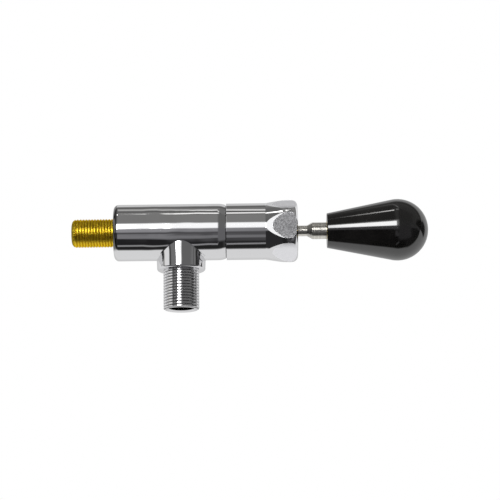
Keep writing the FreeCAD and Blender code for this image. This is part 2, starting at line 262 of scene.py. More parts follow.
def outline(corners, rim=0.0, closed=True):
    """Points along corners (along the axis, radius, rounding), each rounded corner as an arc.

    A corner with no rounding of its own takes the rim's, or less where that has no room.
    Straight stretches beside an arc get a point near the arc, so that its smooth shading
    stays on the arc.
    """
    straight = math.radians(89.9)
    arc_turn = math.radians(7)
    arc_length = 0.5
    half_room = 0.499
    small_room = 0.3
    points = []
    count = len(corners)
    for i, corner in enumerate(corners):
        here = Vector(corner[:2])
        radius = corner[2] if len(corner) > 2 else rim
        ends = not closed and i in (0, count - 1)
        if ends or radius == 0:
            points.append(tuple(here))
            continue
        before = Vector(corners[i - 1][:2]) - here
        after = Vector(corners[(i + 1) % count][:2]) - here
        half = before.angle(after) / 2
        if half > straight:
            points.append(tuple(here))
            continue
        back = radius / math.tan(half)
        room = min(before.length, after.length)
        if back > half_room * room and len(corner) < 3:
            back = small_room * room
            radius = back * math.tan(half)
        start = here + before.normalized() * back
        end = here + after.normalized() * back
        middle = here + (before.normalized() + after.normalized()).normalized() * (
            radius / math.sin(half))
        first = start - middle
        turn = first.angle_signed(end - middle)
        steps = max(3, round(abs(turn) / arc_turn), round(abs(turn) * radius / arc_length))
        support = 0.12 + 0.04 * radius
        if before.length - back > 3 * support:
            points.append(tuple(start + before.normalized() * support))
        for k in range(steps + 1):
            spoke = first.copy()
            spoke.rotate(Matrix.Rotation(-turn * k / steps, 2))
            points.append(tuple(middle + spoke))
        if after.length - back > 3 * support:
            points.append(tuple(end + after.normalized() * support))
    return points


def pick(obj):
    """Selects one object alone."""
    bpy.ops.object.select_all(action="DESELECT")
    bpy.context.view_layer.objects.active = obj
    obj.select_set(True)


def edit(obj):
    """Opens one object in edit mode, with all of it selected."""
    pick(obj)
    bpy.ops.object.mode_set(mode="EDIT")
    bpy.ops.mesh.select_all(action="SELECT")


def leave_edit():
    bpy.ops.object.mode_set(mode="OBJECT")


def drawn(name, points, closed):
    """A line through points (along the X axis, radius), drawn by extruding one vertex."""
    bpy.ops.object.select_all(action="DESELECT")
    bpy.ops.mesh.primitive_plane_add(size=MM)
    obj = bpy.context.object
    obj.name = name
    obj.data.name = name
    bpy.ops.object.mode_set(mode="EDIT")
    bpy.ops.mesh.merge(type="CENTER")
    last = Vector((0, 0, 0))
    for i, point in enumerate(points):
        here = Vector((point[0], 0, point[1])) * MM
        if i == 0:
            bpy.ops.transform.translate(value=here)
        else:
            bpy.ops.mesh.extrude_vertices_move(TRANSFORM_OT_translate={"value": here - last})
        last = here
    leave_edit()
    if closed:
        vertices = obj.data.vertices
        for vertex in vertices:
            vertex.select = vertex.index in (0, len(vertices) - 1)
        bpy.ops.object.mode_set(mode="EDIT")
        bpy.ops.mesh.edge_face_add()
        leave_edit()
    return obj


def merge_doubles(obj):
    """Opens one object in edit mode and merges its doubled vertices."""
    edit(obj)
    bpy.ops.mesh.remove_doubles(threshold=merge_gap * MM)


def close_up(obj):
    """Merges doubled vertices and turns every face outwards."""
    merge_doubles(obj)
    bpy.ops.mesh.select_all(action="SELECT")
    bpy.ops.mesh.normals_make_consistent(inside=False)
    leave_edit()


def cut_off(obj, point, normal):
    """Cuts off what lies past a plane, and closes the cut with a face."""
    edit(obj)
    bpy.ops.mesh.bisect(
        plane_co=point, plane_no=normal, use_fill=True, clear_outer=True,
        threshold=cut_gap * MM)
    leave_edit()


def turned(name, points, closed=True, steps=None):
    """A piece turned about the X axis."""
    obj = drawn(name, points, closed)
    edit(obj)
    bpy.ops.mesh.spin(
        steps=steps or bpy.context.scene.tap_sizes.steps, angle=2 * math.pi,
        center=(0, 0, 0), axis=(1, 0, 0))
    leave_edit()
    close_up(obj)
    return obj


def stand_down(obj):
    """Turns a piece made along X, so that it points down the outlet's axis."""
    pick(obj)
    obj.rotation_euler = (0, math.pi / 2, 0)
    obj.location = (outlet_x * MM, 0, 0)
    bpy.ops.object.transform_apply(location=True, rotation=True, scale=True)


def apply_modifier(obj, modifier):
    pick(obj)
    bpy.ops.object.modifier_apply(modifier=modifier.name)


def keep_shared(obj, other):
    """Keeps what two closed pieces share, and drops the second piece."""
    modifier = obj.modifiers.new("shared", "BOOLEAN")
    modifier.operation = "INTERSECT"
    modifier.solver = "EXACT"
    modifier.object = other
    apply_modifier(obj, modifier)
    if not obj.data.polygons:
        raise RuntimeError(f"{obj.name} shares nothing with {other.name}")
    bpy.data.objects.remove(other)
    close_up(obj)


def smooth(obj, degrees=12):
    """Shades a piece smooth, except over edges sharper than an angle."""
    pick(obj)
    bpy.ops.object.shade_smooth_by_angle(angle=math.radians(degrees))


def place(obj, body, slot, *nodes):
    """Says what a finished piece rides on and which nodes it stands for. The slot is not used."""
    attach(obj, body)
    if nodes:
        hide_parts(*nodes)


def thread(name, crest_r, start, end, flat):
    """A closed bar with a right-handed pipe thread, longer than wanted at both ends.

    Its crests are worn to a flat, which makes the thread shallower.
    """
    sizes = bpy.context.scene.tap_sizes
    pitch = sizes.thread_pitch / MM
    spare_turns = 1.5
    tip_steps = 3
    inner_flat = 0.7 * flat
    tip = thread_rounding * pitch
    flank = math.radians(thread_flank)
    depth = sizes.thread_depth / MM - flat / 2 / math.tan(flank)
    root_r = crest_r - depth
    turn = 90 - thread_flank
    root = arc((0, root_r + tip), tip, -90, -90 + turn, tip_steps)
    crest = arc(((pitch - flat) / 2, crest_r - tip), tip, 90 + turn, 90, tip_steps)
    rise = root + crest + [((pitch - inner_flat) / 2, crest_r)]
    fall = [(pitch - x, r) for x, r in reversed(rise)]
    turns = math.ceil((end - start) / pitch + 2 * spare_turns)
    first_x = start - spare_turns * pitch
    tooth = drawn(name, [(first_x + x, r) for x, r in rise + fall], closed=False)
    screw = tooth.modifiers.new("thread", "SCREW")
    screw.axis = "X"
    screw.angle = 2 * math.pi
    screw.screw_offset = pitch * MM
    screw.iterations = turns
    screw.steps = sizes.thread_steps
    screw.render_steps = sizes.thread_steps
    screw.use_merge_vertices = True
    screw.merge_threshold = merge_gap * MM
    apply_modifier(tooth, screw)
    merge_doubles(tooth)
    leave_edit()
    middle = (start + end) / 2 * MM
    for side in (-1, 1):
        cap_thread_end(tooth, middle, side)
    close_up(tooth)
    return tooth


def cap_thread_end(obj, middle, side):
    """Closes one end of a screwed surface with a fan of faces to a point on its axis."""
    edit(obj)
    bpy.ops.mesh.select_mode(type="VERT")
    bpy.ops.mesh.select_all(action="DESELECT")
    bpy.ops.mesh.select_non_manifold()
    leave_edit()
    for vertex in obj.data.vertices:
        if (vertex.co.x - middle) * side < 0:
            vertex.select = False
    for edge in obj.data.edges:
        edge.select = all(obj.data.vertices[i].select for i in edge.vertices)
    for face in obj.data.polygons:
        face.select = False
    bpy.ops.object.mode_set(mode="EDIT")
    bpy.ops.mesh.extrude_edges_move()
    bpy.ops.mesh.merge(type="CENTER")
    leave_edit()


def add(tree, kind, inputs=None, **settings):
    """Adds a node with its settings, and feeds its inputs with values or other nodes' outputs."""
    node = tree.nodes.new("ShaderNode" + kind)
    for name, value in settings.items():
        setattr(node, name, value)
    for key, value in (inputs or {}).items():
        feed(tree, node.inputs[key], value)
    return node


def feed(tree, socket, value):
    if isinstance(value, bpy.types.NodeSocket):
        tree.links.new(value, socket)
    else:
        socket.default_value = value


def maths(tree, operation, first, second=0.0, third=0.0, clamp=False):
    inputs = {0: first, 1: second, 2: third}
    return add(tree, "Math", inputs, operation=operation, use_clamp=clamp).outputs[0]


def blend(tree, factor, first, second, kind="RGBA"):
    """Mixes two colours, or two numbers with the kind FLOAT."""
    node = add(tree, "Mix", data_type=kind)
    pair = [s for s in node.inputs if s.type == ("RGBA" if kind == "RGBA" else "VALUE")]
    if kind == "RGBA":
        feed(tree, node.inputs[0], factor)
    else:
        feed(tree, pair.pop(0), factor)
    for socket, value in zip(pair, (first, second)):
        if kind == "RGBA" and not isinstance(value, bpy.types.NodeSocket):
            value = (*value[:3], 1.0)
        feed(tree, socket, value)
    return next(s for s in node.outputs if s.enabled)


def between(tree, value, start, end, first=0.0, last=1.0):
    """Runs from first to last while the value goes from start to end."""
    inputs = {0: value, 1: start, 2: end, 3: first, 4: last}
    return add(tree, "MapRange", inputs, interpolation_type="SMOOTHSTEP").outputs[0]


def step(tree, length, edge, soft, first=0.0, last=1.0):
    """Runs from first to last past an edge, over a soft width, both in millimetres."""
    return between(tree, length, edge * MM, (edge + soft) * MM, first, last)


def product(tree, *factors):
    """Multiplies numbers or outputs."""
    result = factors[0]
    for factor in factors[1:]:
        result = maths(tree, "MULTIPLY", result, factor)
    return result


def tone(colour, factor):
    """A colour made darker or brighter."""
    return [c * factor for c in colour]


def new_group(name, inputs, outputs):
    """A shader node group with named inputs and outputs, and its two end nodes."""
    tree = bpy.data.node_groups.new(name, "ShaderNodeTree")
    kinds = {"vector": "NodeSocketVector", "number": "NodeSocketFloat"}
    for label, kind in inputs.items():
        tree.interface.new_socket(name=label, in_out="INPUT", socket_type=kinds[kind])
    for label, kind in outputs.items():
        tree.interface.new_socket(name=label, in_out="OUTPUT", socket_type=kinds[kind])
    start = tree.nodes.new("NodeGroupInput")
    end = tree.nodes.new("NodeGroupOutput")
    return tree, start.outputs, end.inputs


def use(tree, build, **inputs):
    """Places a node group in a tree, and builds it the first time. Returns its outputs."""
    group = bpy.data.node_groups.get(build.__name__) or build()
    node = tree.nodes.new("ShaderNodeGroup")
    node.node_tree = group
    for label, value in inputs.items():
        feed(tree, node.inputs[label.replace("_", " ").capitalize()], value)
    return node.outputs


def from_axis():
    """Distance from the X axis."""
    tree, given, result = new_group("from_axis", {"Point": "vector"}, {"Radius": "number"})
    flat = add(tree, "VectorMath", {0: given["Point"], 1: (0, 1, 1)}, operation="MULTIPLY")
    length = add(tree, "VectorMath", {0: flat.outputs[0]}, operation="LENGTH")
    feed(tree, result["Radius"], length.outputs["Value"])
    return tree


def lathe_marks():
    """Fine lines round the X axis, as a lathe leaves them."""
    tree, given, result = new_group(
        "lathe_marks", {"Point": "vector", "Fineness": "number"}, {"Height": "number"})
    x, y, z = add(tree, "SeparateXYZ", {0: given["Point"]}).outputs
    radius = use(tree, from_axis, point=given["Point"])["Radius"]
    along = maths(tree, "MULTIPLY", x, given["Fineness"])
    out = maths(tree, "MULTIPLY", radius, given["Fineness"])
    angle = maths(tree, "ARCTAN2", z, y)
    where = add(tree, "CombineXYZ", {0: along, 1: out, 2: maths(tree, "MULTIPLY", angle, 0.4)})
    noise = add(tree, "TexNoise", {"Vector": where.outputs[0], "Scale": 1.0, "Detail": 3.0})
    feed(tree, result["Height"], noise.outputs["Fac"])
    return tree


def groove_shade():
    """1 in the root of an outside thread round the X axis, and 0 at its crest and inside it."""
    tree, given, result = new_group(
        "groove_shade", {"Point": "vector", "Crest": "number", "Root": "number"},
        {"Groove": "number"})
    radius = use(tree, from_axis, point=given["Point"])["Radius"]
    groove = between(tree, radius, given["Root"], given["Crest"], 1.0, 0.0)
    inside = maths(tree, "SUBTRACT", given["Root"], 0.3 * MM)
    wall = between(tree, radius, inside, maths(tree, "ADD", inside, 0.1 * MM))
    feed(tree, result["Groove"], maths(tree, "MULTIPLY", groove, wall))
    return tree


def handling_marks():
    """Smudges from handling, as a mask."""
    tree, given, result = new_group(
        "handling_marks", {"Point": "vector"}, {"Smudge": "number"})
    cloud = add(tree, "TexNoise", {
        "Vector": given["Point"], "Scale": 90.0, "Detail": 3.0, "Distortion": 0.6})
    feed(tree, result["Smudge"], between(tree, cloud.outputs["Fac"], 0.42, 0.68))
    return tree


def polish_waves():
    """The long waves that polishing leaves, deeper round the foot of the outlet boss."""
    tree, given, result = new_group("polish_waves", {"Point": "vector"}, {"Height": "number"})
    x, y, _ = add(tree, "SeparateXYZ", {0: given["Point"]}).outputs
    aside = maths(tree, "SUBTRACT", x, outlet_x * MM)
    away = maths(tree, "SQRT", maths(
        tree, "ADD", maths(tree, "MULTIPLY", aside, aside), maths(tree, "MULTIPLY", y, y)))
    depth = step(tree, away, 12, 8, 0.2, 0.012)
    noise = add(tree, "TexNoise", {"Vector": given["Point"], "Scale": 90.0, "Detail": 1.0})
    feed(tree, result["Height"], maths(tree, "MULTIPLY", noise.outputs["Fac"], depth))
    return tree


def cast_grain():
    """The slight unevenness of a moulded or drawn surface."""
    tree, given, result = new_group(
        "cast_grain", {"Point": "vector", "Fineness": "number"}, {"Height": "number"})
    noise = add(tree, "TexNoise", {
        "Vector": given["Point"], "Scale": given["Fineness"], "Detail": 2.0})
    feed(tree, result["Height"], noise.outputs["Fac"])
    return tree


def coat(tree, shader, colour, roughness, metallic=1.0):
    """Gives a surface its colour, its roughness and whether it is metal."""
    feed(tree, shader.inputs["Base Color"], colour)
    feed(tree, shader.inputs["Roughness"], roughness)
    shader.inputs["Metallic"].default_value = metallic


def bump(tree, shader, height, depth):
    """Raises the shader's surface by a height map, to a depth in metres."""
    node = add(tree, "Bump", {"Height": height, "Distance": depth, "Strength": 1.0})
    feed(tree, shader.inputs["Normal"], node.outputs[0])


def finish(build):
    """Makes a function that fills a material into one that returns it, built once."""
    def material():
        made = bpy.data.materials.get(build.__name__)
        if made is None:
            made = bpy.data.materials.new(build.__name__)
            made.use_nodes = True
            tree = made.node_tree
            point = add(tree, "TexCoord").outputs["Object"]
            build(tree, tree.nodes["Principled BSDF"], point, bpy.context.scene.tap_colours)
        return made
    return material


@finish
def polished_chrome(tree, shader, point, colours):
    """Mirror bright, with a painted highlight on the upper side of the flare, and painted shade
    in the gap under the cap's rear end and on the front side of the rear rim."""
    x, y, z = add(tree, "SeparateXYZ", {0: point}).outputs
    radius = use(tree, from_axis, point=point)["Radius"]
    # Painted highlight: the chrome is made brighter on the upper side of the flare.
    flare = product(tree, step(tree, z, flare_highlight_z, 3), step(tree, x, flare_highlight_x, 0.6))
    # Painted shade: the chrome is darkened on the front side of the rear rim.
    rim = product(
        tree, step(tree, x, rim_shade_x, 0.4, 1.0, 0.0), step(tree, radius, rim_shade_r, 0.4),
        step(tree, z, rim_shade_z, 1.5), step(tree, y, rim_shade_y, 4, 1.0, 0.0))
    # Painted shade: the chrome is darkened in the gap under the cap's rear end.
    gap = product(
        tree, step(tree, x, seam_x, 0.05), step(tree, x, spigot_end_x + 1, 0.1, 1.0, 0.0),
        step(tree, radius, seam_shade_r, 0.05, 1.0, 0.0))
    shade = blend(tree, flare, colours.chrome, tone(colours.chrome, 1.35))
    shade = blend(tree, rim, shade, tone(colours.chrome, 0.2))
    shade = blend(tree, gap, shade, tone(colours.chrome, 0.12))
    smudge = use(tree, handling_marks, point=point)["Smudge"]
    coat(tree, shader, shade, between(tree, smudge, 0, 1, 0.04, 0.06))
    bump(tree, shader, use(tree, polish_waves, point=point)["Height"], MM)


@finish
def thread_chrome(tree, shader, point, colours):
    """Polished on the crests, rougher in the grooves, with painted shade in them and in the
    mouth.
    """
    upright = add(tree, "Mapping", {
        "Vector": point, "Rotation": (0, -math.pi / 2, 0), "Location": (0, 0, -outlet_x * MM)})
    groove = use(tree, groove_shade, point=upright.outputs[0], crest=(outlet_r - 0.05) * MM,
                 root=(outlet_r - 0.4) * MM)["Groove"]
    smudge = use(tree, handling_marks, point=point)["Smudge"]
    # Painted shade: the chrome is darkened in the thread's grooves.
    shade = blend(tree, groove, colours.chrome, tone(colours.chrome, 0.3))
    radius = use(tree, from_axis, point=upright.outputs[0])["Radius"]
    # Painted shade: the chrome is darkened inside the mouth.
    mouth = step(tree, radius, outlet_mouth_r - 0.1, 0.15, 0.8, 0.0)
    shade = blend(tree, mouth, shade, tone(colours.chrome, 0.15))
    rough = maths(tree, "ADD", between(tree, groove, 0, 1, 0.07, 0.25),
                  maths(tree, "MULTIPLY", smudge, 0.04))
    coat(tree, shader, shade, rough)
    height = use(tree, lathe_marks, point=upright.outputs[0], fineness=2500.0)["Height"]
    bump(tree, shader, height, 0.0008 * MM)


@finish
def milled_chrome(tree, shader, point, colours):
    """Polished along the edge of each flat, and mottled satin inside an arch, with painted
    shade on the flats that face the front.
    """
    x, y, z = add(tree, "SeparateXYZ", {0: point}).outputs
    angle = maths(tree, "ARCTAN2", z, maths(tree, "MULTIPLY", y, -1.0))
    flat_turn = 2 * math.pi / cap_flats
    turns = maths(tree, "ROUND", maths(tree, "DIVIDE", angle, flat_turn))
    folded = maths(tree, "SUBTRACT", angle, maths(tree, "MULTIPLY", turns, flat_turn))
    across = maths(tree, "MULTIPLY", maths(tree, "TANGENT", folded), body_r * MM)
    edge = maths(tree, "DIVIDE", maths(tree, "MULTIPLY", across, across), arch_spread * MM)
    depth = maths(tree, "SUBTRACT", maths(tree, "SUBTRACT", x, arch_x * MM), edge)
    wobble = add(tree, "TexNoise", {"Vector": point, "Scale": 600.0, "Detail": 2.0})
    depth = maths(tree, "ADD", depth, maths(
        tree, "MULTIPLY", maths(tree, "SUBTRACT", wobble.outputs["Fac"], 0.5), 0.7 * MM))
    satin = step(tree, depth, -0.2, 0.5)
    mottle = add(tree, "TexNoise", {"Vector": point, "Scale": 1700.0, "Detail": 2.0})
    patch = between(tree, mottle.outputs["Fac"], 0.35, 0.65)
    away = maths(tree, "ABSOLUTE", angle)
    # Painted shade: the satin and its mottle are darker on the flats that face the front.
    pale = add(tree, "VectorMath", {
        0: (1, 1, 1.03), "Scale": between(tree, away, 0.3, 0.9, 0.24, 0.95)}, operation="SCALE")
    dull_and_painted_shade = add(tree, "VectorMath", {
        0: pale.outputs[0], "Scale": between(tree, away, 0.3, 0.9, 0.6, 0.95)},
        operation="SCALE")
    inside = blend(tree, patch, dull_and_painted_shade.outputs[0], pale.outputs[0])
    shade = blend(tree, satin, colours.chrome, inside)
    coat(tree, shader, shade, between(tree, satin, 0, 1, 0.05, 0.4))
    bump(tree, shader, maths(tree, "MULTIPLY", patch, satin), 0.01 * MM)


@finish
def bare_brass(tree, shader, point, colours):
    """Slightly tarnished, with painted shade in the thread's grooves, and dark at the rear end.
    """
    groove = use(tree, groove_shade, point=point, crest=(inlet_r - 0.05) * MM,
                 root=(inlet_r - 0.55) * MM)["Groove"]
    cloud = add(tree, "TexNoise", {"Vector": point, "Scale": 200.0, "Detail": 3.0})
    tarnish = between(tree, cloud.outputs["Fac"], 0.4, 0.75, 0.0, 0.2)
    dull_and_painted_shade = tone(colours.brass, 0.7)
    # Painted shade darkens the brass in the thread's grooves; the tarnish is the brass's own
    # colour.
    shade = blend(tree, groove, blend(tree, tarnish, colours.brass, dull_and_painted_shade), dull_and_painted_shade)
    x = add(tree, "SeparateXYZ", {0: point}).outputs[0]
    end = step(tree, x, inlet_tip_x + 0.3, 0.7, 0.9, 0.0)
    dark = (0.12, 0.10, 0.05)
    shade = blend(tree, end, shade, dark)
    coat(tree, shader, shade, between(tree, groove, 0, 1, 0.38, 0.45))
    shader.inputs["Specular Tint"].default_value = (1.0, 0.8, 0.3, 1.0)
    height = use(tree, lathe_marks, point=point, fineness=2500.0)["Height"]
    bump(tree, shader, height, 0.0005 * MM)


@finish
def lathed_brass(tree, shader, point, colours):
    """Turned brass, dulled in places."""
    height = use(tree, lathe_marks, point=point, fineness=6000.0)["Height"]
    cloud = add(tree, "TexNoise", {"Vector": point, "Scale": 200.0, "Detail": 3.0})
    tarnish = between(tree, cloud.outputs["Fac"], 0.4, 0.7, 0, 0.6)
    shade = blend(tree, tarnish, colours.brass, tone(colours.brass, 0.75))
    coat(tree, shader, shade, between(tree, height, 0.3, 0.7, 0.2, 0.32))
    bump(tree, shader, height, 0.008 * MM)


@finish
def turned_steel(tree, shader, point, colours):
    """Finely turned, with plain tool lines on the collar and beyond it."""
    x = add(tree, "SeparateXYZ", {0: point}).outputs[0]
    collar = step(tree, x, collar_x, 0.2)
    line = add(tree, "TexNoise", {"W": maths(tree, "MULTIPLY", x, 1800.0), "Scale": 1.0},
               noise_dimensions="1D").outputs["Fac"]
    fine = use(tree, lathe_marks, point=point, fineness=4000.0)["Height"]
    height = blend(tree, collar, fine, line, "FLOAT")
    ridge = between(tree, height, 0.35, 0.65)
    shade = blend(tree, ridge, tone(colours.steel, 0.8), colours.steel)
    coat(tree, shader, shade, between(tree, collar, 0, 1, 0.24, 0.28))
    bump(tree, shader, height, blend(tree, collar, 0.001 * MM, 0.006 * MM, "FLOAT"))


@finish
def drawn_wire(tree, shader, point, colours):
    """Drawn spring wire, slightly uneven."""
    grain = use(tree, cast_grain, point=point, fineness=4000.0)["Height"]
    shade = blend(tree, grain, tone(colours.steel, 0.75), colours.steel)
    coat(tree, shader, shade, between(tree, grain, 0.3, 0.7, 0.25, 0.38))
    bump(tree, shader, grain, 0.004 * MM)


@finish
def glossy_grip(tree, shader, point, colours):
    """Glossy and nearly black, with faint smudges."""
    grain = use(tree, cast_grain, point=point, fineness=300.0)["Height"]
    smudge = use(tree, handling_marks, point=point)["Smudge"]
    worn = [c * 1.4 + 0.001 for c in colours.grip]
    shade = blend(tree, smudge, colours.grip, worn)
    coat(tree, shader, shade, between(tree, smudge, 0, 1, 0.06, 0.1), metallic=0.0)
    shader.inputs["IOR"].default_value = 1.8
    bump(tree, shader, grain, 0.003 * MM)


@finish
def ring_plastic(tree, shader, point, colours):
    """White plastic with fine lathe lines."""
    height = use(tree, lathe_marks, point=point, fineness=5000.0)["Height"]
    shade = blend(tree, height, colours.plastic, tone(colours.plastic, 0.93))
    coat(tree, shader, shade, between(tree, height, 0.3, 0.7, 0.38, 0.5), metallic=0.0)
    bump(tree, shader, height, 0.006 * MM)


@finish
def seal_rubber(tree, shader, point, colours):
    """Matt black rubber, slightly dusty."""
    grain = use(tree, cast_grain, point=point, fineness=3500.0)["Height"]
    dusty = [c + 0.02 for c in colours.rubber]
    shade = blend(tree, grain, colours.rubber, dusty)
    coat(tree, shader, shade, between(tree, grain, 0.3, 0.7, 0.5, 0.7), metallic=0.0)
    bump(tree, shader, grain, 0.01 * MM)


class TAP_OT_inlet_nipple(bpy.types.Operator):
    """Models the raw brass inlet nipple with its outside thread"""
    bl_idname = "tap.inlet_nipple"
    bl_label = "Inlet nipple"

    def execute(self, context):
        crest_r = inlet_r + thread_room
        groove_r = inlet_r - nipple_groove_depth
        blank = turned("nipple_blank", outline([
            (inlet_tip_x, inlet_bore_r, 0.2),
            (inlet_tip_x, crest_r, inlet_tip_round),
            (0, crest_r),
            (0, groove_r),
            (nipple_groove_l, groove_r),
            (nipple_groove_l, crest_r),
            (nipple_end_x, crest_r, 0.3),
            (nipple_end_x, spring_pocket_r, 0.2),
            (spring_pocket_x, spring_pocket_r),
            (spring_pocket_x, inlet_bore_r),
        ]), steps=context.scene.tap_sizes.thread_steps)
        piece = thread("inlet_thread", inlet_r, inlet_tip_x, nipple_end_x, inlet_crest_flat)
        keep_shared(piece, blank)
        smooth(piece, 40)
        piece.data.materials.append(bare_brass())
        place(piece, "tap", "raw_brass", "inlet_nipple")
        return {"FINISHED"}


class TAP_OT_outlet_nipple(bpy.types.Operator):
    """Models the chromed threaded outlet that points down"""
    bl_idname = "tap.outlet_nipple"
    bl_label = "Outlet nipple"

    def execute(self, context):
        crest_r = outlet_r + thread_room
        blank = turned("outlet_blank", outline([
            (outlet_top, outlet_bore_r, 0.2),
            (outlet_top, outlet_spigot_r, 0.3),
            (boss_end, outlet_spigot_r),
            (boss_end, crest_r),
            (outlet_end - outlet_tip_chamfer_l, crest_r),
            (outlet_end, crest_r - outlet_tip_chamfer),
            (outlet_end, outlet_mouth_r + outlet_mouth_chamfer),
            (outlet_end - outlet_mouth_chamfer_l, outlet_mouth_r),
            (outlet_end - outlet_mouth_l, outlet_mouth_r),
            (outlet_end - outlet_mouth_l - outlet_mouth_r + outlet_bore_r, outlet_bore_r),
        ], rim=0.12), steps=context.scene.tap_sizes.thread_steps)
        piece = thread("outlet_thread", outlet_r, outlet_top, outlet_end, outlet_crest_flat)
        keep_shared(piece, blank)
        stand_down(piece)
        smooth(piece, 40)
        piece.data.materials.append(thread_chrome())
        place(piece, "tap", "chrome_plate", "outlet_nipple")
        return {"FINISHED"}


class TAP_OT_cap(bpy.types.Operator):
    """Models the chromed cap with six flats on its flared end"""
    bl_idname = "tap.cap"
    bl_label = "Cap"

    def execute(self, context):
        sizes = context.scene.tap_sizes
        flare_x = cap_end_x - sizes.flare_length / MM
        bend_x = flare_x + (flare_r - body_r) / math.tan(sizes.flare_slope)
        seam_r = body_r - seam_depth
        seam_end_x = seam_x + seam_w
        wall_x = cap_end_x - cap_end_wall
        room_x = wall_x - ring_pocket_l
        ring_room_r = seat_ring_r + ring_play
        thread_x = spigot_end_x + cap_thread_gap
        piece = turned("chromed_cap", outline([
            (seam_x, spigot_r + play),
            (seam_x, seam_r),
            (seam_end_x, seam_r),
            (seam_end_x, body_r - seam_chamfer),
            (seam_end_x + seam_chamfer, body_r),
            (flare_x, body_r),
            (bend_x, flare_r, sizes.flare_bend / MM),
            (cap_end_x, flare_r, sizes.cap_end_round / MM),
            (cap_end_x, rod_mouth_r, 0.2),
            (wall_x, rod_mouth_r - rod_mouth_draft),
            (wall_x, ring_room_r),
            (room_x, ring_room_r),
            (room_x, cap_room_r),
            (thread_x, cap_room_r),
            (thread_x, spigot_r + play),
        ]))
        flat_y = body_r + sizes.flat_step / MM
        for i in range(cap_flats):
            angle = 2 * math.pi * i / cap_flats
            normal = Vector((0, -math.cos(angle), -math.sin(angle)))
            cut_off(piece, normal * flat_y * MM, normal)
        close_up(piece)
        smooth(piece, 8)
        piece.data.materials.append(polished_chrome())
        piece.data.materials.append(milled_chrome())
        for face in piece.data.polygons:
            along_axis = math.hypot(face.normal.y, face.normal.z) > 0.9999
            reach = face.center.y * face.normal.y + face.center.z * face.normal.z
            outermost = reach / MM > flat_y - 0.001
            if along_axis and outermost and face.center.x / MM > flare_x:
                face.material_index = 1
                face.use_smooth = False
        place(piece, "tap", "chrome_plate", "cap")
        return {"FINISHED"}


class TAP_OT_lever(bpy.types.Operator):
    """Models the turned steel lever with its foot, ball, rod, cone, collar and stud"""
    bl_idname = "tap.lever"
    bl_label = "Lever"

    def execute(self, context):
        ball_steps = 36
        neck_turn = math.asin(lever_neck_r / ball_r)
        rod_turn = math.asin(rod_r / ball_r)
        foot = outline([
            (foot_x, 0),
            (foot_x, foot_r, 0.4),
            (foot_x + foot_t, foot_r, 0.1),
            (foot_x + foot_t, lever_neck_r, 0.3),
            (pivot_x - ball_r * math.cos(neck_turn), lever_neck_r),
        ], closed=False)
        ball = arc((pivot_x, 0), ball_r, 180 - math.degrees(neck_turn),
                   math.degrees(rod_turn), ball_steps)
        stalk = outline([
            (pivot_x + ball_r * math.cos(rod_turn), rod_r),
            (rod_end_x, rod_r, 0.25),
            (collar_x, collar_r, 0.15),
            (grip_x, collar_r, 0.1),
            (grip_x, rod_r),
            (stud_end_x, rod_r, 0.4),
            (stud_end_x, 0),
        ], closed=False)
        piece = turned("turned_lever", foot[:-1] + ball + stalk[1:], closed=False)
        smooth(piece)
        piece.data.materials.append(turned_steel())
        place(piece, "lever", "stainless", "joystick_lever")
        return {"FINISHED"}


class TAP_OT_grip(bpy.types.Operator):
    """Models the tapered grip, which ends in a ball"""
    bl_idname = "tap.grip"
    bl_label = "Grip"

    def execute(self, context):
        ball_steps = 64
        centre_x = grip_end_x - grip_r
        reach = centre_x - grip_x
        join_turn = math.atan2(grip_small_r, -reach) - math.acos(
            grip_r / math.hypot(reach, grip_small_r))
        ball = arc((centre_x, 0), grip_r, math.degrees(join_turn), 0, ball_steps)
        bore_end_x = insert_end_x + grip_bore_gap
        side = outline([
            (bore_end_x, 0),
            (bore_end_x, insert_r + play),
            (grip_x, insert_r + play),
            (grip_x, grip_small_r, 0.3),
            ball[0],
        ], closed=False)
        piece = turned("moulded_grip", side + ball[1:], closed=False)
        smooth(piece)
        piece.data.materials.append(glossy_grip())
        place(piece, "lever", "black_grip", "knob")
        return {"FINISHED"}


def coil(name, back_x, front_x, outer_r, wire_r, half_turns):
    """A spring along X whose ends are ground flat."""
    wire_sides = 14
    half_turn_steps = 32
    bpy.ops.object.select_all(action="DESELECT")
    bpy.ops.mesh.primitive_circle_add(vertices=wire_sides, radius=wire_r * MM)
    obj = bpy.context.object
    obj.name = name
    edit(obj)
    bpy.ops.transform.rotate(value=math.pi / 2, orient_axis="X", center_override=(0, 0, 0))
    bpy.ops.transform.translate(value=(back_x * MM, 0, (outer_r - wire_r) * MM))
    leave_edit()
    screw = obj.modifiers.new("coil", "SCREW")
    screw.axis = "X"
    screw.angle = math.pi
    screw.screw_offset = (front_x - back_x) / half_turns * MM
    screw.iterations = half_turns
    screw.steps = half_turn_steps
    screw.render_steps = half_turn_steps
    apply_modifier(obj, screw)
    merge_doubles(obj)
    bpy.ops.mesh.select_all(action="DESELECT")
    bpy.ops.mesh.select_mode(type="EDGE")
    bpy.ops.mesh.select_non_manifold()
    bpy.ops.mesh.fill()
    leave_edit()
    close_up(obj)
    for x, side in ((back_x, -1), (front_x, 1)):
        cut_off(obj, (x * MM, 0, 0), (side, 0, 0))
    close_up(obj)
    smooth(obj, 40)
    obj.data.materials.append(drawn_wire())
    return obj


class TAP_OT_springs(bpy.types.Operator):
    """Models the closing spring behind the seal and the return spring of the thrust plate"""
    bl_idname = "tap.springs"
    bl_label = "Springs"

    def execute(self, context):
        for name, node, wire_r, half_turns in (
            ("closing_coil", "closing_spring", closing_wire_r, closing_half_turns),
            ("return_coil", "return_spring", return_wire_r, return_half_turns),
        ):
            back_x = low(node).x
            front_x = high(node).x
            piece = coil(name, back_x, front_x, high(node).y, wire_r, half_turns)
            place(piece, "tap", "spring_wire", node)
            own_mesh(piece)
        return {"FINISHED"}


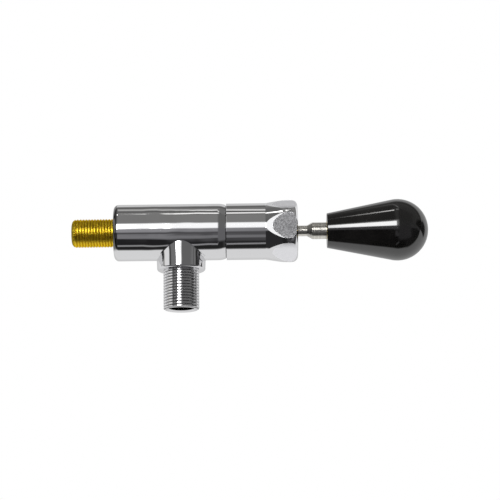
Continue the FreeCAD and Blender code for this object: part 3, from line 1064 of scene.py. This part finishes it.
class TAP_OT_kept_pieces(bpy.types.Operator):
    """Finishes the body and the inner pieces, which keep the shape of their nodes"""
    bl_idname = "tap.kept_pieces"
    bl_label = "Body and inner pieces"

    def execute(self, context):
        finishes = {
            polished_chrome: ("tap_body",),
            lathed_brass: ("knob_insert", "seal_holder", "guide_bush", "gland_nut"),
            turned_steel: ("thrust_plate", "stem_lock_nut", "valve_stem", "seal_washer"),
            ring_plastic: ("ball_seat_ring", "gland_washers"),
            seal_rubber: ("seal_disc", "bush_o_ring", "stem_o_rings"),
        }
        for material, nodes in finishes.items():
            for node in nodes:
                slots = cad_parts[node].material_slots
                if not slots:
                    raise RuntimeError(f"{node} has no material slot to finish")
                for entry in slots:
                    entry.material = material()
        return {"FINISHED"}


def light_panel():
    """Lays one soft-edged panel over a level of light.

    Sideways is the ray's angle towards +X, and round its angle about the X axis, from the
    front up, both in degrees. Side and height are the angles of the panel's middle. A panel
    with a slope climbs by that many degrees for each degree sideways.
    """
    tree, given, result = new_group("light_panel", {
        "Sideways": "number", "Round": "number", "Side": "number", "Height": "number",
        "Slope": "number", "Half width": "number", "Half height": "number",
        "Softness": "number", "Level": "number", "Under": "number"}, {"Level": "number"})
    climb = maths(tree, "MULTIPLY", given["Sideways"], given["Slope"])
    level_round = maths(tree, "SUBTRACT", given["Round"], climb)
    mask = None
    for angle, centre, half in (
            (given["Sideways"], "Side", "Half width"), (level_round, "Height", "Half height")):
        offset = maths(tree, "SUBTRACT", angle, given[centre])
        away = maths(tree, "ABSOLUTE", maths(tree, "WRAP", offset, 180, -180))
        room = maths(tree, "SUBTRACT", given[half], away)
        edge = maths(tree, "ADD", maths(tree, "DIVIDE", room, given["Softness"]), 0.5, clamp=True)
        mask = edge if mask is None else maths(tree, "MULTIPLY", mask, edge)
    feed(tree, result["Level"], blend(tree, mask, given["Under"], given["Level"], "FLOAT"))
    return tree


# The studio round the tap: panels laid one over the other, each with these inputs of its
# light panel, in degrees but for the level
panel_inputs = ("side", "height", "slope", "half_width", "half_height", "softness", "level")
panels = [
    (0, 165, 0, 40, 38, 36, 0.66),
    (0, 17.2, 0, 100, 104.2, 5, 0.21),
    (-1, 17.2, 0, 6, 104.2, 3, 0.25),
    (1, 45, 0, 2.5, 17, 3, 0.33),
    (0, 109, 0, 100, 3.5, 4, 0.12),
    (-1, 87.5, -2.2, 7, 4.5, 3, 0.55),
    (1.6, 87.2, -2.2, 3.2, 3.5, 2.5, 1.0),
    (0, 79, -1, 100, 3, 3, 0.12),
    (0.97, 70.3, 0, 3.97, 3, 1.2, 1.5),
    (-18, 68, 0, 9, 40, 5, 0.13),
    (-11, 68.5, 0, 2.2, 2.2, 2.2, 7),
    (0, -3.5, 0, 100, 5, 4, 0.37),
    (0, -14.5, 0, 100, 3, 3, 0.10),
    (0.7, -18.5, 0, 2.6, 6.5, 4, 0.05),
    (0, -60, 0, 100, 24, 4, 0.02),
    (-2, -62, 1.1, 5, 3.4, 3, 0.32),
    (-20, -47, 0, 9, 37, 5, 0.03),
    (52, -45, 0, 28, 45, 10, 0.05),
    (25, 10, 0, 24, 60, 10, 0.16),
    (-70, 27, 0, 22, 112, 6, 0.04),
    (82, 79, 0, 17, 51, 6, 0.03),
    (76, 165, 0, 17, 35, 6, 0.05),
    (-8.5, 15, 0, 11.6, 11, 5, 1.35),
    (-12.75, 13.1, 0, 7.75, 8.6, 3, 11.3),
    (-68, 62, 0, 12, 70, 4, 0.95),
]


class TAP_OT_stage(bpy.types.Operator):
    """Sets the camera, the pale floor, the soft lamp and the white studio round the tap"""
    bl_idname = "tap.stage"
    bl_label = "Stage"

    def execute(self, context):
        settings = context.scene.tap_stage
        aim = Vector(settings.aim)
        view = Vector((0, math.cos(settings.elevation), -math.sin(settings.elevation)))
        bpy.ops.object.select_all(action="DESELECT")
        bpy.ops.object.camera_add(location=aim - view * settings.distance)
        camera = context.object
        camera.name = "studio_camera"
        turn = Matrix.Rotation(math.pi / 2 - settings.elevation, 4, "X")
        roll = Matrix.Rotation(settings.roll, 4, "Z")
        camera.matrix_world = Matrix.Translation(camera.location) @ turn @ roll
        camera.data.lens = settings.lens
        camera.data.sensor_width = 36
        camera.data.clip_start = 0.01
        context.scene.camera = camera

        bpy.ops.mesh.primitive_plane_add(
            size=settings.floor_size, location=(0, 0, settings.floor_z))
        floor = context.object
        floor.name = "pale_floor"
        bpy.ops.object.transform_apply(location=True)
        floor.data.materials.append(floor_paint())

        bpy.ops.object.light_add(type="AREA", location=settings.lamp_place)
        lamp = context.object
        lamp.name = "soft_lamp"
        lamp.rotation_euler = (aim - lamp.location).to_track_quat("-Z", "Y").to_euler()
        lamp.data.shape = "RECTANGLE"
        lamp.data.size, lamp.data.size_y = settings.lamp_size
        lamp.data.energy = settings.lamp_power
        lamp.visible_glossy = False

        context.scene.view_settings.view_transform = "Standard"
        context.scene.world = studio_world()
        return {"FINISHED"}


def floor_paint():
    """A pale matt floor that takes shadows and stays out of the metal's reflections."""
    material = bpy.data.materials.new("floor_paint")
    material.use_nodes = True
    tree = material.node_tree
    shader = tree.nodes["Principled BSDF"]
    shader.inputs["Base Color"].default_value = (0.87, 0.87, 0.87, 1)
    shader.inputs["Roughness"].default_value = 0.9
    path = add(tree, "LightPath")
    clear = add(tree, "BsdfTransparent")
    mixed = add(tree, "MixShader", {
        0: path.outputs["Is Glossy Ray"], 1: shader.outputs[0], 2: clear.outputs[0]})
    feed(tree, tree.nodes["Material Output"].inputs["Surface"], mixed.outputs[0])
    return material


def studio_world():
    """White to the camera, a plain soft light on surfaces, and panels in the reflections.

    The reflections are slightly warm round the upper front and slightly cold below it. Each
    tint has its middle, its half width at full strength and at none, in degrees round the X
    axis, and its colour.
    """
    room_level = 0.9
    surface_light = (0.68, 0.68, 0.68)
    white = (1, 1, 1)
    tints = [
        (75, 38, 55, (1.0, 0.99, 0.97)),
        (-30, 30, 38, (0.965, 0.955, 1.0)),
    ]
    world = bpy.data.worlds.new("studio")
    world.use_nodes = True
    tree = world.node_tree
    ray = add(tree, "TexCoord").outputs["Generated"]
    x, y, z = add(tree, "SeparateXYZ", {0: ray}).outputs
    sideways = maths(tree, "DEGREES", maths(tree, "ARCSINE", x))
    front = maths(tree, "MULTIPLY", y, -1.0)
    round_x = maths(tree, "DEGREES", maths(tree, "ARCTAN2", z, front))
    level = room_level
    for panel in panels:
        level = use(tree, light_panel, sideways=sideways, round=round_x, under=level,
                    **dict(zip(panel_inputs, panel)))["Level"]
    tint = white
    for middle, full, none, colour in tints:
        away = maths(tree, "ABSOLUTE", maths(tree, "SUBTRACT", round_x, middle))
        tint = blend(tree, between(tree, away, full, none, 1.0, 0.0), tint, colour)
    light = add(tree, "VectorMath", {0: tint, "Scale": level}, operation="SCALE").outputs[0]
    path = add(tree, "LightPath")
    seen = blend(tree, path.outputs["Is Glossy Ray"], surface_light, light)
    shown = blend(tree, path.outputs["Is Camera Ray"], seen, white)
    background = tree.nodes["Background"]
    feed(tree, background.inputs["Color"], shown)
    background.inputs["Strength"].default_value = 1.0
    return world


class TAP_PT_panel(bpy.types.Panel):
    """Lists the tap's pieces, sizes, colours and stage"""
    bl_label = "Joystick tap"
    bl_idname = "TAP_PT_panel"
    bl_space_type = "VIEW_3D"
    bl_region_type = "UI"
    bl_category = "Tap"

    def draw(self, context):
        layout = self.layout
        for operator in operators:
            layout.operator(operator.bl_idname)
        for settings in (context.scene.tap_sizes, context.scene.tap_colours,
                         context.scene.tap_stage):
            box = layout.box()
            for name in settings.__annotations__:
                box.prop(settings, name)


operators = [
    TAP_OT_inlet_nipple,
    TAP_OT_outlet_nipple,
    TAP_OT_cap,
    TAP_OT_lever,
    TAP_OT_grip,
    TAP_OT_springs,
    TAP_OT_kept_pieces,
    TAP_OT_stage,
]
classes = [TapSizes, TapColours, TapStage, *operators, TAP_PT_panel]


def register():
    for item in classes:
        bpy.utils.register_class(item)
    bpy.types.Scene.tap_sizes = PointerProperty(type=TapSizes)
    bpy.types.Scene.tap_colours = PointerProperty(type=TapColours)
    bpy.types.Scene.tap_stage = PointerProperty(type=TapStage)


def unregister():
    del bpy.types.Scene.tap_stage
    del bpy.types.Scene.tap_colours
    del bpy.types.Scene.tap_sizes
    for item in reversed(classes):
        bpy.utils.unregister_class(item)


def main():
    register()
    bpy.ops.tap.inlet_nipple()
    bpy.ops.tap.outlet_nipple()
    bpy.ops.tap.cap()
    bpy.ops.tap.lever()
    bpy.ops.tap.grip()
    bpy.ops.tap.springs()
    bpy.ops.tap.kept_pieces()
    bpy.ops.tap.stage()


if __name__ == "__main__":
    main()
